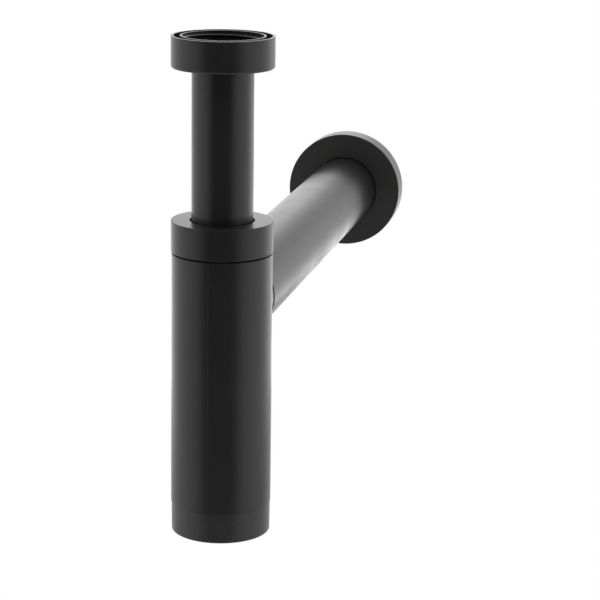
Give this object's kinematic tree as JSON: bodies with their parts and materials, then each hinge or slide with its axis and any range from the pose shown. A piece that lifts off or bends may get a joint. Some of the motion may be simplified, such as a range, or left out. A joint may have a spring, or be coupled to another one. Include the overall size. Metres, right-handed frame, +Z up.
{
  "type": "basin trap",
  "caption": "Bottle trap for a basin: height-adjustable inlet pipe with nut, round bottle with a screw-off base, and a long straight outlet pipe with a wall flange.",
  "frame": {"origin": "centre of the mouth of the inlet nut, where the basin's waste screws in", "axes": "+Z up along the bottle's axis, out of the inlet; +Y level along the outlet pipe, to the wall; +X to the right seen from the front"},
  "size_m": [0.0744, 0.4122, 0.2634],
  "materials": {
    "black_moulding": "fine satin black moulding",
    "black_bottle": "satin black moulding with a faint parting line",
    "black_inlet_pipe": "smooth satin black tube",
    "black_outlet_pipe": "smooth satin black tube with a strong grazing sheen",
    "black_flange": "satin black disc",
    "seal_rubber": "dull soft rubber",
    "slip_plastic": "slippery natural white plastic"
  },
  "bodies": {
    "bottle": {"bottle_body": "black_bottle"},
    "swivel_seal": {"cap_seal": "seal_rubber"},
    "inlet": {"inlet_pipe": "black_inlet_pipe", "inlet_washer": "seal_rubber"},
    "nut_slip_ring": {"inlet_slip_ring": "slip_plastic"},
    "waste_nut": {"inlet_nut": "black_moulding"},
    "cap_washer": {"cap_slip_washer": "slip_plastic"},
    "cap": {"cap_nut": "black_moulding"},
    "base_seal": {"bottom_seal": "seal_rubber"},
    "base_cap": {"bottom_cap": "black_moulding"},
    "outlet_rings": {"outlet_o_ring_inner": "seal_rubber", "outlet_o_ring_outer": "seal_rubber"},
    "outlet": {"outlet_pipe": "black_outlet_pipe"},
    "flange_ring": {"flange_grip_ring": "seal_rubber"},
    "flange": {"wall_flange": "black_flange"}
  },
  "joints": [
    {"name": "inlet_turn", "type": "hinge", "parent": "bottle", "child": "swivel_seal", "pos_m": [0, 0, 0], "axis": [0, 0, 1], "continuous": true},
    {"name": "inlet_height", "type": "slide", "parent": "swivel_seal", "child": "inlet", "axis": [0, 0, 1], "range_m": [-0.036, 0.055]},
    {"name": "waste_nut_slide", "type": "slide", "parent": "inlet", "child": "nut_slip_ring", "axis": [0, 0, -1], "range_m": [0, 0.042]},
    {"name": "waste_nut_turn", "type": "hinge", "parent": "nut_slip_ring", "child": "waste_nut", "pos_m": [0, 0, 0], "axis": [0, 0, 1], "continuous": true},
    {"name": "cap_nut_lift", "type": "slide", "parent": "bottle", "child": "cap_washer", "axis": [0, 0, 1], "range_m": [0, 0.01261]},
    {"name": "cap_nut_turn", "type": "hinge", "parent": "cap_washer", "child": "cap", "pos_m": [0, 0, 0], "axis": [0, 0, 1], "range_deg": [0, 1512]},
    {"name": "bottom_cap_drop", "type": "slide", "parent": "bottle", "child": "base_seal", "axis": [0, 0, -1], "range_m": [0, 0.01131]},
    {"name": "bottom_cap_turn", "type": "hinge", "parent": "base_seal", "child": "base_cap", "pos_m": [0, 0, 0], "axis": [0, 0, -1], "range_deg": [0, 1356]},
    {"name": "outlet_turn", "type": "hinge", "parent": "bottle", "child": "outlet_rings", "pos_m": [0, 0, -0.1425], "axis": [0, 1, 0], "continuous": true},
    {"name": "outlet_pull", "type": "slide", "parent": "outlet_rings", "child": "outlet", "axis": [0, 1, 0], "range_m": [0, 0.022]},
    {"name": "flange_slide", "type": "slide", "parent": "outlet", "child": "flange_ring", "axis": [0, 1, 0], "range_m": [-0.299, 0.04]},
    {"name": "flange_turn", "type": "hinge", "parent": "flange_ring", "child": "flange", "pos_m": [0, 0, -0.1425], "axis": [0, 1, 0], "continuous": true}
  ],
  "couplings": [
    {"joint": "cap_nut_lift", "follows": "cap_nut_turn", "m_per_rad": 0.00047746},
    {"joint": "bottom_cap_drop", "follows": "bottom_cap_turn", "m_per_rad": 0.00047746}
  ]
}
